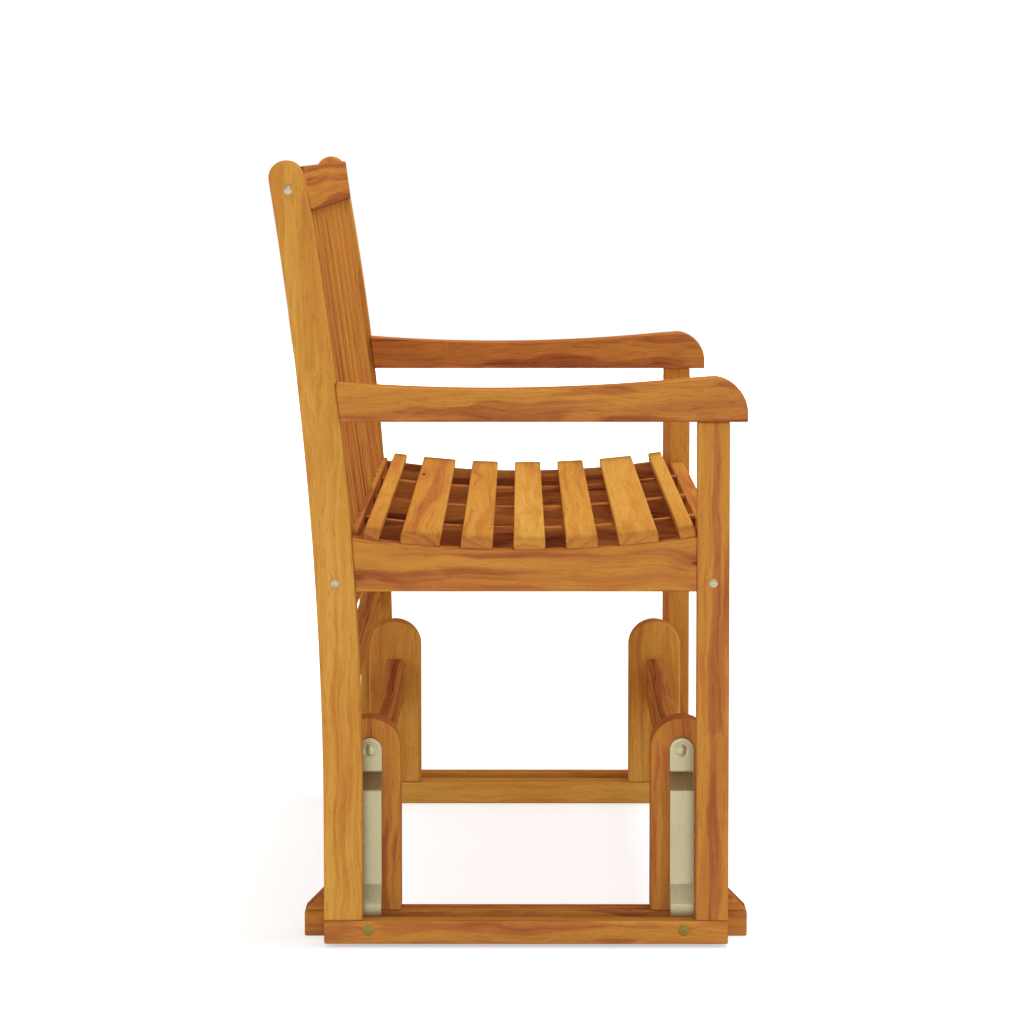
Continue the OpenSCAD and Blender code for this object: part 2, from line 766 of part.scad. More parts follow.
base_rail(RIGHT);  // base_rail_right
base_rail(LEFT);  // base_rail_left
post(RIGHT, FRONT);  // post_front_right
post(LEFT, FRONT);  // post_front_left
post(RIGHT, REAR);  // post_rear_right
post(LEFT, REAR);  // post_rear_left
base_gussets();
base_beam(FRONT);  // base_beam_front
base_beam(REAR);  // base_beam_rear
base_bolts();
upper_pivot_bolts();
upper_pivot_washers();
upper_pivot_nuts();
link(RIGHT, FRONT);  // link_front_right
link(LEFT, FRONT);  // link_front_left
link(RIGHT, REAR);  // link_rear_right
link(LEFT, REAR);  // link_rear_left
runner(RIGHT);  // runner_right
runner(LEFT);  // runner_left
leg_front(RIGHT);  // leg_front_right
leg_front(LEFT);  // leg_front_left
leg_rear(RIGHT);  // leg_rear_right
leg_rear(LEFT);  // leg_rear_left
arm(RIGHT);  // arm_right
arm(LEFT);  // arm_left
seat_side_rail(RIGHT);  // seat_side_rail_right
seat_side_rail(LEFT);  // seat_side_rail_left
seat_front_rail();
seat_rear_rail();
seat_bearers();
for (n = [1 : slat_n]) seat_slat(n);
rear_stretcher();
back_top_rail();
for (n = [1 : back_slats]) back_slat(n);
frame_bolts();
frame_dowels();
slat_screws();
lower_pivot_bolts();
lower_pivot_washers();
lower_pivot_nuts();
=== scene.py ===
# Gliding swing bench in oiled acacia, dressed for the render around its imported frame.
# Metres. The sitter faces -Y, right hand at -X, and the floor is z = 0.
import json
import math
import random
from functools import partial

import bmesh
import bpy
from mathutils import Matrix, Vector

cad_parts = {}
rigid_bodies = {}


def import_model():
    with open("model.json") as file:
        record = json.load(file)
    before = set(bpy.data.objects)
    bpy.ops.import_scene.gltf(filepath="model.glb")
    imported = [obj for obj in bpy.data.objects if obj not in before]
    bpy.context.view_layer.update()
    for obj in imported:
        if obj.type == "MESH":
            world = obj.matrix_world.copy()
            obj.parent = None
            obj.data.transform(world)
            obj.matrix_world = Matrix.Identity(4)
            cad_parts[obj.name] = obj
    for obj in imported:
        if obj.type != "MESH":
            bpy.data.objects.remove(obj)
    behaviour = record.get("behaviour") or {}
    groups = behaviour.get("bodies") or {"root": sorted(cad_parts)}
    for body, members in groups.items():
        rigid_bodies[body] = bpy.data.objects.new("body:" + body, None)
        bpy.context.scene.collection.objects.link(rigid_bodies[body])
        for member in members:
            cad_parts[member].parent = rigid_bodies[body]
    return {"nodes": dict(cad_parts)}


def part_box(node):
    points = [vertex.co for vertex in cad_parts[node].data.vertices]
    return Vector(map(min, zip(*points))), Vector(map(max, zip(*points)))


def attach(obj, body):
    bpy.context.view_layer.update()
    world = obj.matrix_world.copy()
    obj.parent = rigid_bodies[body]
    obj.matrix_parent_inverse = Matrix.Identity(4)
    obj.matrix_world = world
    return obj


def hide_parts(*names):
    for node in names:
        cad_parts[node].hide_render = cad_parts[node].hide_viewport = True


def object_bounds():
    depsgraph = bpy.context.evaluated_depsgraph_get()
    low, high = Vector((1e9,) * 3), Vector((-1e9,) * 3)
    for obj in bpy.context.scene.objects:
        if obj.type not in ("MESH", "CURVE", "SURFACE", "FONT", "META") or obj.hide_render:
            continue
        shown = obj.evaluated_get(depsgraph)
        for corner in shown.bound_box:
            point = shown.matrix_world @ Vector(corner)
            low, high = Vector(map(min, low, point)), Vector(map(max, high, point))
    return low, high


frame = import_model()
cadLow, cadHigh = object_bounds()
benchMiddle = (cadLow + cadHigh) / 2

# The camera stands level with the back's top and looks along the bench, onto its right side
view = {"distance": 5.449, "height": 0.927, "side": -0.01, "lens": 150.0, "sees": 60.0}


def makeCamera():
    lens = bpy.data.cameras.new("sideCamera")
    lens.lens = view["lens"]
    lens.clip_end = view["sees"]
    camera = bpy.data.objects.new("sideCamera", lens)
    bpy.context.scene.collection.objects.link(camera)
    camera.location = (-view["distance"], view["side"], view["height"])
    aim = Vector((0, 0, benchMiddle.z)) - camera.location
    camera.rotation_euler = aim.to_track_quat("-Z", "Y").to_euler()
    bpy.context.scene.camera = camera


makeCamera()

# Colour, node and mesh helpers, and the kinds of node that are used most
maths = "ShaderNodeMath"
vectorMaths = "ShaderNodeVectorMath"
joinParts = "ShaderNodeCombineXYZ"
splitParts = "ShaderNodeSeparateXYZ"
mapRange = "ShaderNodeMapRange"
noiseTexture = "ShaderNodeTexNoise"
attribute = "ShaderNodeAttribute"
smoothStep = {"interpolation_type": "SMOOTHSTEP"}


def rgb(hexText):
    parts = [int(hexText[i:i + 2], 16) / 255 for i in (1, 3, 5)]
    toned = [c / 12.92 if c <= 0.04045 else ((c + 0.055) / 1.055) ** 2.4 for c in parts]
    return (*toned, 1.0)


def addNode(tree, kind, inputs=(), operation=None, moreItems=0, **settings):
    # The inputs come in a row, or by name or number. A node stands for its first output.
    made = tree.nodes.new(kind)
    if operation:
        made.operation = operation
    for name, value in settings.items():
        setattr(made, name, value)
    for extra in range(moreItems):
        made.index_switch_items.new()
    for key, value in inputs.items() if isinstance(inputs, dict) else enumerate(inputs):
        if isinstance(value, bpy.types.Node):
            value = value.outputs[0]
        if isinstance(value, bpy.types.NodeSocket):
            tree.links.new(value, made.inputs[key])
        else:
            made.inputs[key].default_value = value
    return made


def newMaterial(name):
    material = bpy.data.materials.new(name)
    material.use_nodes = True
    material.node_tree.nodes.clear()
    return material, partial(addNode, material.node_tree)


def meshObject(name, bm, material):
    mesh = bpy.data.meshes.new(name)
    bm.to_mesh(mesh)
    bm.free()
    mesh.materials.append(material)
    made = bpy.data.objects.new(name, mesh)
    bpy.context.scene.collection.objects.link(made)
    return made


# Oiled acacia: a warm, fairly dense hardwood, planed, sanded and oiled, so that it hardly shines. Long
# golden and red-brown bands run along each board, with thin wavy dark lines, small knots, dark end grain.
# Every board carries "grain" (metres along, across and through it) and "board" (number, tone, end grain).
acacia = {
    "tones": ("#D29C4A", "#C4873A", "#B36E38", "#98542F", "#66321F"),  # from pale gold to dark heartwood
    "stops": (0.0, 0.25, 0.52, 0.78, 1.0),
    "dark": "#512A19",       # pores and the hearts of knots
    "calm": 0.38,            # how lively the figure is in the palest board
    "paler": -0.155,         # moves lively boards back towards gold, as their figure makes them darker
    "apart": (3.71, 0.57, 0.83),  # every board is cut this far from the one before, in metres
    "knots": {"spacing": 0.15, "squeeze": 2.2,   # a cell's length, and how much narrower it is
              "few": (0.68, 0.70),               # the share of the cells that stay empty
              "swell": (0.30, 0.02), "heart": (0.050, 0.022), "push": 0.008},
    "wander": {"perMetre": (9.0, 14.0, 14.0), "reach": (0.0, 0.022, 0.022)},
    "rings": {"width": 0.011,                    # a fast-grown tree's yearly ring
              "turn": 2.399, "beside": 0.035, "slant": 0.035, "below": 0.05, "tilt": 0.02,  # its pith
              "start": 5.3, "late": (0.35, 0.97), "lateEnds": (1.0, 0.97)},
    "figure": {  # follows, metres across the grain, times longer along it, detail, roughness, shown between
        "band": ("flow", 0.016, 22, 2.0, 0.45, (0.49, 0.60)),    # heartwood bands
        "line": ("flow", 0.0042, 40, 2.0, 0.5, (0.56, 0.67)),    # thin dark lines
        "drift": ("place", 0.09, 3.0, 1.0, 0.5, None),           # paler and darker ends
        "cloud": ("place", 0.020, 2.2, 2.0, 0.55, None),         # soft patches
        "fibre": ("flow", 0.0016, 34, 2.0, 0.6, None),           # about four times too coarse, to show
        "pore": ("flow", 0.0012, 11, 0.0, 0.5, (0.66, 0.78))},   # the same
    "shares": {  # how much each part darkens the wood, whether less in calm boards, and its middle
        "yearTone": (0.72, True, 0.5), "band": (0.30, True, 0.0), "line": (0.14, True, 0.0),
        "lateWood": (0.06, False, 0.0), "drift": (0.34, False, 0.5), "cloud": (0.14, False, 0.5),
        "swell": (0.16, False, 0.0), "endGrain": (0.24, False, 0.0)},
    "heartShare": 0.8, "poreShare": 0.24, "fibreShare": 0.24, "fibreShown": (0.1, 0.9),
    "onEnds": {"bands": -0.85, "rings": 2.0},   # sawn across, bands are only dots and the rings show
    "relief": {"fibre": 0.5, "pore": -0.6, "lateWood": 0.35, "strength": 0.30, "depth": 0.0004},
    "roughness": {"least": 0.54, "fibre": 0.16, "endGrain": 0.15},
}


def makeAcacia():
    material, add = newMaterial("oiledAcacia")
    grain = add(attribute, attribute_name="grain").outputs["Vector"]
    board = add(attribute, attribute_name="board").outputs["Vector"]
    number, boardTone, endGrain = add(splitParts, [board]).outputs
    lively = add(maths, (boardTone, acacia["calm"]), "ADD")
    apart = add(joinParts, [add(maths, (number, step), "MULTIPLY") for step in acacia["apart"]])
    place = add(vectorMaths, (grain, apart), "ADD")

    # Knots: a few cells of a stretched cell pattern hold one, and the grain swells round it
    knots = acacia["knots"]
    narrow = knots["squeeze"] / knots["spacing"]
    cells = add(vectorMaths, (place, (1 / knots["spacing"], narrow, narrow)), "MULTIPLY")
    knotCell = add("ShaderNodeTexVoronoi", {"Vector": cells, "Scale": 1.0}, feature="F1")
    knotPick = add(splitParts, [knotCell.outputs["Color"]])
    knotHere = add(mapRange, (knotPick, *knots["few"]), **smoothStep)
    near = [add(mapRange, (knotCell.outputs["Distance"], *knots[part]), **smoothStep)
            for part in ("swell", "heart")]
    swell, knotHeart = [add(maths, (part, knotHere), "MULTIPLY") for part in near]

    # The grain wanders a little along the board, and makes way for the knots
    waves = add(vectorMaths, (place, acacia["wander"]["perMetre"]), "MULTIPLY")
    wander = add(noiseTexture, {"Vector": waves, "Scale": 1.0, "Detail": 2.0, "Roughness": 0.45})
    eitherWay = add(vectorMaths, (wander.outputs["Color"], (0.5, 0.5, 0.5)), "SUBTRACT")
    wavy = add(vectorMaths, (eitherWay, acacia["wander"]["reach"]), "MULTIPLY")
    parted = add(joinParts, {1: add(maths, (swell, knots["push"]), "MULTIPLY")})
    flow = add(vectorMaths, (add(vectorMaths, (place, wavy), "ADD"), parted), "ADD")

    # Rings round a pith that lies off the board and is not quite in line with it
    rings = acacia["rings"]
    cut = add(vectorMaths, (add(vectorMaths, (grain, wavy), "ADD"), parted), "ADD")
    along, sideways, deep = add(splitParts, [cut]).outputs
    turn = add(maths, (number, rings["turn"]), "MULTIPLY")
    beside = add(maths, (add(maths, [turn], "SINE"), rings["beside"]), "MULTIPLY")
    slant = add(maths, (along, add(maths, [turn], "COSINE")), "MULTIPLY")
    slant = add(maths, (slant, rings["slant"]), "MULTIPLY")
    across = add(maths, (add(maths, (sideways, beside), "ADD"), slant), "ADD")
    below = add(maths, (rings["below"], add(maths, (along, rings["tilt"]), "MULTIPLY")), "ADD")
    through = add(maths, (deep, below), "ADD")
    squares = [add(maths, (part, part), "MULTIPLY") for part in (across, through)]
    radius = add(maths, [add(maths, squares, "ADD")], "SQRT")
    years = add(maths, (radius, rings["width"]), "DIVIDE")
    years = add(maths, (years, add(maths, (number, rings["start"]), "MULTIPLY")), "ADD")
    season = add(maths, [years], "FRACT")
    late = [add(mapRange, (season, *rings[part]), **smoothStep) for part in ("late", "lateEnds")]
    parts = {"swell": swell, "endGrain": endGrain, "lateWood": add(maths, late, "MULTIPLY")}
    parts["yearTone"] = add(noiseTexture, {"W": years, "Scale": 0.8, "Detail": 3.0, "Roughness": 0.62},
                            noise_dimensions="1D")

    # Bands, thin lines, slow drift and clouds, fibres and pores
    for name, (follows, size, longer, detail, rough, shown) in acacia["figure"].items():
        scale = (1 / (size * longer), 1 / size, 1 / size)
        scaled = add(vectorMaths, ({"flow": flow, "place": place}[follows], scale), "MULTIPLY")
        parts[name] = add(noiseTexture, {"Vector": scaled, "Scale": 1.0, "Detail": detail,
                          "Roughness": rough})
        if shown:
            parts[name] = add(mapRange, (parts[name], *shown), **smoothStep)
    for name, share in (("band", "bands"), ("line", "bands"), ("lateWood", "rings")):
        onEnd = add(maths, (endGrain, acacia["onEnds"][share], 1.0), "MULTIPLY_ADD")
        parts[name] = add(maths, (parts[name], onEnd), "MULTIPLY")

    # Where each point lies on the way from pale gold to dark heartwood
    tone = add(maths, (boardTone, add(maths, (lively, acacia["paler"]), "MULTIPLY")), "ADD")
    for name, (share, calmer, middle) in acacia["shares"].items():
        part = add(maths, (parts[name], middle), "SUBTRACT") if middle else parts[name]
        part = add(maths, (part, lively), "MULTIPLY") if calmer else part
        tone = add(maths, (part, share, tone), "MULTIPLY_ADD")
    colour = add("ShaderNodeValToRGB", [tone])
    stops = colour.color_ramp.elements
    while len(stops) < len(acacia["tones"]):
        stops.new(0.5)
    for stop, at, tint in zip(stops, acacia["stops"], acacia["tones"]):
        stop.position = at
        stop.color = rgb(tint)
    fibre, pore = parts["fibre"], parts["pore"]
    for part, share in ((knotHeart, "heartShare"), (pore, "poreShare")):
        factor = add(maths, (part, acacia[share]), "MULTIPLY")
        colour = add("ShaderNodeMix", {0: factor, 6: colour, 7: rgb(acacia["dark"])},
                     data_type="RGBA").outputs[2]
    grey = add("ShaderNodeCombineColor", [add(mapRange, (fibre, *acacia["fibreShown"]))] * 3)
    colour = add("ShaderNodeMix", {0: acacia["fibreShare"], 6: colour, 7: grey}, data_type="RGBA",
                 blend_type="SOFT_LIGHT").outputs[2]

    relief, roughness = acacia["relief"], acacia["roughness"]
    height = add(maths, (pore, relief["pore"]), "MULTIPLY")
    height = add(maths, (fibre, relief["fibre"], height), "MULTIPLY_ADD")
    height = add(maths, (height, add(maths, (parts["lateWood"], relief["lateWood"]), "MULTIPLY")), "ADD")
    bump = add("ShaderNodeBump", {"Strength": relief["strength"], "Distance": relief["depth"],
               "Height": height})
    rough = add(maths, (fibre, roughness["fibre"], roughness["least"]), "MULTIPLY_ADD")
    rough = add(maths, (rough, add(maths, (endGrain, roughness["endGrain"]), "MULTIPLY")), "ADD")
    shader = add("ShaderNodeBsdfPrincipled", {"Base Color": colour, "Roughness": rough, "IOR": 1.45,
                 "Specular IOR Level": 0.0, "Normal": bump})
    add("ShaderNodeOutputMaterial", [shader])
    return material


# Plated steel: zinc passivated yellow on rolled strip and turned bolts, or brass on turned sleeves. It is
# pale champagne or muted brass, with a soft gloss, faint rolling lines and blotches. Where a piece carries
# a share from 0 to 1, the colour is mixed towards the dark brown below: painted shade and painted
# reflection.
plating = {"lineWidth": 0.0004, "lineLength": 20, "blotches": 22.0, "dull": "#74501F",
           "smoother": 0.03, "rougher": 0.04, "strength": 0.05, "depth": 0.0001}


def makePlatedSteel(name, pale, deep, roughness):
    material, add = newMaterial(name)
    place = add("ShaderNodeTexCoord").outputs["Object"]
    stretched = add(vectorMaths, (place, (1.0, 1.0, 1 / plating["lineLength"])), "MULTIPLY")
    rolled = add(noiseTexture, {"Vector": stretched, "Scale": 1 / plating["lineWidth"], "Detail": 1.0})
    colour = add(noiseTexture, {"Vector": place, "Scale": plating["blotches"], "Detail": 2.0})
    colour = add("ShaderNodeMix", {0: colour, 6: rgb(pale), 7: rgb(deep)}, data_type="RGBA").outputs[2]
    # Painted shade and painted reflection: the colour is mixed towards dark brown by the stored share
    dull = add(attribute, attribute_name="dull").outputs["Fac"]
    colour = add("ShaderNodeMix", {0: dull, 6: colour, 7: rgb(plating["dull"])},
                 data_type="RGBA").outputs[2]
    uneven = add(mapRange, {0: rolled, 3: roughness - plating["smoother"],
                 4: roughness + plating["rougher"]})
    bump = add("ShaderNodeBump", {"Strength": plating["strength"], "Distance": plating["depth"],
               "Height": rolled})
    shader = add("ShaderNodeBsdfPrincipled", {"Base Color": colour, "Metallic": 1.0, "Roughness": uneven,
                 "Normal": bump})
    add("ShaderNodeOutputMaterial", [shader])
    return material


oiledAcacia = makeAcacia()
champagneZinc = makePlatedSteel("champagneZincSteel", "#B3AB8A", "#A29A79", 0.27)  # links and washers
boltZinc = makePlatedSteel("boltZincSteel", "#BDB593", "#A79F7D", 0.38)            # pivot bolts, duller
brightZinc = makePlatedSteel("brightZincSteel", "#BFB092", "#A5977A", 0.34)        # frame bolts and screws
brassPlate = makePlatedSteel("brassPlatedSteel", "#93803F", "#7A6833", 0.42)       # sleeve nuts
print("Materials made")

# Floor, world and lamps. The camera, gloss and glass see plain white, and the light is soft and level.
studio = {"world": 0.65, "floor": "#DEDEDE", "floorRadius": 14, "floorGlow": 0.52, "fadeFrom": 1.0,
          "fadeTo": 4.5,
          "lamps": [  # place, aim, size, watts, seen in gloss
              ((-13.0, -3.4, 2.4), (0, 0, 0.3), 3.2, 110.0, True),
              ((-12.5, 4.6, 1.6), (0, 0, 0.3), 3.0, 60.0, True),
              ((-13.0, 0.0, 0.95), (0, 0, 0.4), 2.4, 360.0, False),
              ((2.0, -13.0, 1.6), (0, 0, 0.4), 4.0, 250.0, False),
              ((13.0, 0.0, 1.6), (0, 0, 0.4), 4.0, 300.0, False),
              ((-2.0, 13.0, 1.6), (0, 0, 0.4), 4.0, 300.0, False),
              ((0.2, -0.8, 4.6), (0, 0, 0.3), 2.2, 108.0, True)]}


def seesBackdrop(add):
    path = add("ShaderNodeLightPath").outputs
    either = add(maths, (path["Is Camera Ray"], path["Is Glossy Ray"]), "MAXIMUM")
    return add(maths, (either, path["Is Transmission Ray"]), "MAXIMUM")


def makeStudio():
    world = bpy.data.worlds.new("paleStudio")
    world.use_nodes = True
    world.node_tree.nodes.clear()
    add = partial(addNode, world.node_tree)
    strength = add(mapRange, {0: seesBackdrop(add), 3: studio["world"], 4: 1.0})
    glow = add("ShaderNodeBackground", {"Color": (1, 1, 1, 1), "Strength": strength})
    add("ShaderNodeOutputWorld", [glow])
    bpy.context.scene.world = world
    bpy.context.scene.view_settings.view_transform = "Standard"

    material, add = newMaterial("paleFloor")
    matt = add("ShaderNodeBsdfPrincipled", {"Base Color": rgb(studio["floor"]), "Roughness": 0.9,
               "Specular IOR Level": 0.0})
    spot = add("ShaderNodeTexCoord").outputs["Object"]
    away = add(vectorMaths, [spot], "LENGTH").outputs["Value"]
    fade = add(mapRange, (away, studio["fadeFrom"], studio["fadeTo"], studio["floorGlow"], 1.0),
               **smoothStep)
    lift = add(maths, (seesBackdrop(add), fade), "MULTIPLY")
    glow = add("ShaderNodeEmission", {"Color": (1, 1, 1, 1), "Strength": lift})
    add("ShaderNodeOutputMaterial", [add("ShaderNodeAddShader", (matt, glow))])
    bm = bmesh.new()
    bmesh.ops.create_circle(bm, cap_ends=True, radius=studio["floorRadius"], segments=64)
    floor = meshObject("paleFloor", bm, material)

    for i, (place, aim, size, watts, inGloss) in enumerate(studio["lamps"]):
        lamp = bpy.data.lights.new(f"softbox{i + 1}", "AREA")
        lamp.size = size
        lamp.energy = watts
        holder = bpy.data.objects.new(f"softbox{i + 1}", lamp)
        holder.location = place
        holder.visible_glossy = inGloss
        holder.rotation_euler = (Vector(aim) - Vector(place)).to_track_quat("-Z", "Y").to_euler()
        bpy.context.scene.collection.objects.link(holder)


makeStudio()
print("Studio ready")

# Ways to finish a piece
finishing = {"merge": 1e-6, "flatWithin": math.radians(0.4), "corner": math.radians(35),
             "shortest": 0.0015,                 # a shorter edge stays sharp
             "endFrom": 0.40, "endFade": 0.45,   # how far a face turns before it shows end grain
             "seedStep": 101, "nextBoard": 0.37}  # set boards of one piece apart from each other


def bake(made):
    # The evaluated mesh takes the place of the mesh and its modifiers
    bpy.context.view_layer.update()
    graph = bpy.context.evaluated_depsgraph_get()
    mesh = bpy.data.meshes.new_from_object(made.evaluated_get(graph), depsgraph=graph)
    old = made.data
    made.modifiers.clear()
    made.data = mesh
    mesh.name = made.name
    bpy.data.meshes.remove(old)


def ease(made, radius, segments=3, weighted=False):
    # Rounds the edges over a little, and keeps the flats shading flat
    bevel = made.modifiers.new("eased", "BEVEL")
    bevel.width = radius
    bevel.segments = segments
    bevel.limit_method = "WEIGHT" if weighted else "ANGLE"
    bevel.angle_limit = finishing["corner"]
    bevel.use_clamp_overlap = True
    for polygon in made.data.polygons:
        polygon.use_smooth = True
    flat = made.modifiers.new("flats", "WEIGHTED_NORMAL")
    flat.keep_sharp = True
    flat.weight = 100


def finish(made, body, slotName, *nodes):
    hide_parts(*nodes)
    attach(made, body)


def meshOf(nodeName):
    # A merged copy of a node's loose triangles
    bm = bmesh.new()
    bm.from_mesh(frame["nodes"][nodeName].data)
    bmesh.ops.remove_doubles(bm, verts=bm.verts, dist=finishing["merge"])
    return bm


def islandsOf(bm):
    # The separate solids of a mesh, each a list of its points
    seen = set()
    islands = []
    for start in bm.verts:
        if start in seen:
            continue
        seen.add(start)
        island = [start]
        for vertex in island:
            for edge in vertex.link_edges:
                other = edge.other_vert(vertex)
                if other not in seen:
                    seen.add(other)
                    island.append(other)
        islands.append(island)
    return islands


def boxOf(points):
    low = Vector([min(p[i] for p in points) for i in range(3)])
    high = Vector([max(p[i] for p in points) for i in range(3)])
    return low, high


# Where the grain runs in a board, which way its thickness lies, and how much its figure varies along it.
# Boards as long as the bench are cut from straight stems.
alongX = (Vector((1, 0, 0)), Vector((0, 0, 1)), 0.3)
alongTopRail = (Vector((1, 0, 0)), Vector((0, 0, 1)), 0.1)
alongY = (Vector((0, 1, 0)), Vector((1, 0, 0)), 1.0)
alongZ = (Vector((0, 0, 1)), Vector((1, 0, 0)), 1.0)


def giveGrain(made, number, boardTone, direction, spread=0.0):
    # Stores each board's own coordinates and numbers on its points, for the acacia to read. The tone is one
    # for all boards, give or take the spread, or one for each.
    along, through, varied = direction
    across = through.cross(along)
    mesh = made.data
    bm = bmesh.new()
    bm.from_mesh(mesh)
    bm.verts.ensure_lookup_table()
    grain = mesh.attributes.new("grain", "FLOAT_VECTOR", "POINT")
    board = mesh.attributes.new("board", "FLOAT_VECTOR", "POINT")
    islands = islandsOf(bm)
    islands.sort(key=lambda island: tuple(round(c, 3) for c in boxOf([v.co for v in island])[0]))
    for i, island in enumerate(islands):
        places = [Vector((v.co.dot(along), v.co.dot(across), v.co.dot(through))) for v in island]
        low, high = boxOf(places)
        chance = random.Random(number * finishing["seedStep"] + i)
        tone = boardTone[i] if isinstance(boardTone, tuple) else boardTone + chance.uniform(-spread, spread)
        for v, place in zip(island, places):
            place -= (low + high) / 2
            cut = sum((f.normal * f.calc_area() for f in v.link_faces), Vector()).normalized()
            endGrain = (abs(cut.dot(along)) - finishing["endFrom"]) / finishing["endFade"]
            grain.data[v.index].vector = (place.x * varied, place.y, place.z)
            board.data[v.index].vector = (number + finishing["nextBoard"] * i, tone,
                                          min(1.0, max(0.0, endGrain)))
    bm.free()


# Sawn boards keep the frame's outlines and holes, with their outer edges eased
# Each tone was set against how its board looks under the light, so beside each board's own tone some carry
# painted light. The left posts and the left base rail are paler, a painted lift against the shade they
# stand in. The left arm and the left rear leg are darker, painted shade.
boards = {  # node: number, tone, grain, eased radius, and the shortest edge that is eased if not the usual
    "base_rail_right": (1, 0.46, alongY, 0.0022),
    "base_rail_left": (2, 0.10, alongY, 0.0022),
    "post_front_right": (3, 0.49, alongZ, 0.0026),
    "post_rear_right": (4, 0.42, alongZ, 0.0026),
    "post_front_left": (5, 0.26, alongZ, 0.0026),
    "post_rear_left": (6, 0.22, alongZ, 0.0026),
    "base_gussets": (7, 0.60, alongY, 0.0020),
    "base_beam_front": (8, 0.55, alongX, 0.0020),
    "base_beam_rear": (9, 0.60, alongX, 0.0020),
    "runner_right": (10, 0.44, alongY, 0.0018),
    "runner_left": (11, 0.44, alongY, 0.0018),
    "leg_front_right": (12, 0.44, alongZ, 0.0022),
    "leg_front_left": (13, 0.36, alongZ, 0.0022),
    "leg_rear_right": (14, 0.19, alongZ, 0.0026),
    "leg_rear_left": (15, 0.30, alongZ, 0.0026),
    "arm_right": (16, 0.50, alongY, 0.0032),
    "arm_left": (17, 0.64, alongY, 0.0032),
    "seat_side_rail_right": (18, 0.48, alongY, 0.0034),
    "seat_side_rail_left": (19, 0.62, alongY, 0.0034),
    "seat_front_rail": (20, 0.40, alongX, 0.0022),
    "seat_rear_rail": (21, 0.55, alongX, 0.0022, 0.048),
    "seat_bearers": (22, 0.66, alongY, 0.0024, 0.006),
    "rear_stretcher": (25, 0.45, alongX, 0.0020),
    "back_top_rail": (26, 0.52, alongTopRail, 0.0030, 0.048),
}


def makeBoard(nodeName, number, boardTone, direction, radius, shortest=finishing["shortest"]):
    bm = meshOf(nodeName)
    bmesh.ops.dissolve_limit(bm, angle_limit=finishing["flatWithin"], verts=bm.verts, edges=bm.edges)
    bmesh.ops.connect_verts_concave(bm, faces=bm.faces)
    weights = bm.edges.layers.float.new("bevel_weight_edge")
    for edge in bm.edges:
        turned = len(edge.link_faces) == 2 and edge.calc_face_angle() > finishing["corner"]
        edge[weights] = 1.0 if turned and edge.calc_length() > shortest else 0.0
        edge.smooth = not turned or edge[weights] > 0.5
    made = meshObject(nodeName + "Board", bm, oiledAcacia)
    ease(made, radius, weighted=True)
    bake(made)
    giveGrain(made, number, boardTone, direction)
    body = frame["nodes"][nodeName].parent.name.split(":")[1]
    finish(made, body, "acacia", nodeName)


for nodeName, cut in boards.items():
    makeBoard(nodeName, *cut)
print("Boards eased:", len(boards))


# Geometry Nodes helpers
def newTree(name, sizes):
    tree = bpy.data.node_groups.new(name, "GeometryNodeTree")
    for way in ("INPUT", "OUTPUT"):
        tree.interface.new_socket("Geometry", in_out=way, socket_type="NodeSocketGeometry")
    for label, value in sizes.items():
        kind = "NodeSocketInt" if isinstance(value, int) else "NodeSocketFloat"
        tree.interface.new_socket(label, in_out="INPUT", socket_type=kind).default_value = value
    add = partial(addNode, tree)
    return tree, add, add("NodeGroupInput").outputs


def endTree(add, geometry, material):
    loose = add("GeometryNodeRealizeInstances", [geometry])
    painted = add("GeometryNodeSetMaterial", {"Geometry": loose, "Material": material})
    add("NodeGroupOutput", [painted])


def runTree(name, tree, sizes, points=()):
    # An object whose points, if any, carry the instances; its sizes go in by socket identifier
    mesh = bpy.data.meshes.new(name)
    if points:
        mesh.from_pydata([place for place, aim in points], [], [])
        aims = mesh.attributes.new("aim", "FLOAT_VECTOR", "POINT")
        for i, (place, aim) in enumerate(points):
            aims.data[i].vector = aim
    made = bpy.data.objects.new(name, mesh)
    modifier = made.modifiers.new("nodes", "NODES")
    modifier.node_group = tree
    for item in tree.interface.items_tree:
        if item.in_out == "INPUT" and item.name in sizes:
            modifier[item.identifier] = sizes[item.name]
    bpy.context.scene.collection.objects.link(made)
    return made


# Backrest slats: a row of boards that leans with the rear legs and stands in mortises
backSlats = {"row": {"count": 15, "pitch": 0.075333, "width": 0.045, "thickness": 0.014, "length": 0.38696,
                     "lean": math.radians(7.9)},
             "eased": 0.0022, "number": 30, "tone": 0.46, "spread": 0.07}


def backSlatTree(sizes):
    tree, add, size = newTree("backSlatRow", sizes)
    span = add(maths, (size["pitch"], add(maths, (size["count"], 1.0), "SUBTRACT")), "MULTIPLY")
    start = add(joinParts, (add(maths, (span, -0.5), "MULTIPLY"), size["middleY"], size["middleZ"]))
    step = add(joinParts, [size["pitch"]])
    row = add("GeometryNodeMeshLine", {"Count": size["count"], "Start Location": start, "Offset": step},
              mode="OFFSET")
    board = add(joinParts, (size["width"], size["thickness"], size["length"]))
    slat = add("GeometryNodeMeshCube", {"Size": board})
    lean = add(joinParts, [add(maths, (size["lean"], -1.0), "MULTIPLY")])
    slats = add("GeometryNodeInstanceOnPoints", {"Points": row, "Instance": slat, "Rotation": lean})
    endTree(add, slats, oiledAcacia)
    return tree


def makeBackSlats():
    names = [f"back_slat_{n + 1:02d}" for n in range(backSlats["row"]["count"])]
    low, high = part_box(names[0])
    middle = (low + high) / 2
    sizes = {**backSlats["row"], "middleY": middle.y, "middleZ": middle.z}
    made = runTree("backSlats", backSlatTree(sizes), sizes)
    ease(made, backSlats["eased"])
    bake(made)
    lean = Matrix.Rotation(-sizes["lean"], 3, "X")
    direction = (lean @ Vector((0, 0, 1)), lean @ Vector((0, 1, 0)), 1.0)
    giveGrain(made, backSlats["number"], backSlats["tone"], direction, backSlats["spread"])
    finish(made, "chair", "acacia", *names)


makeBackSlats()
print("Backrest slats stand")

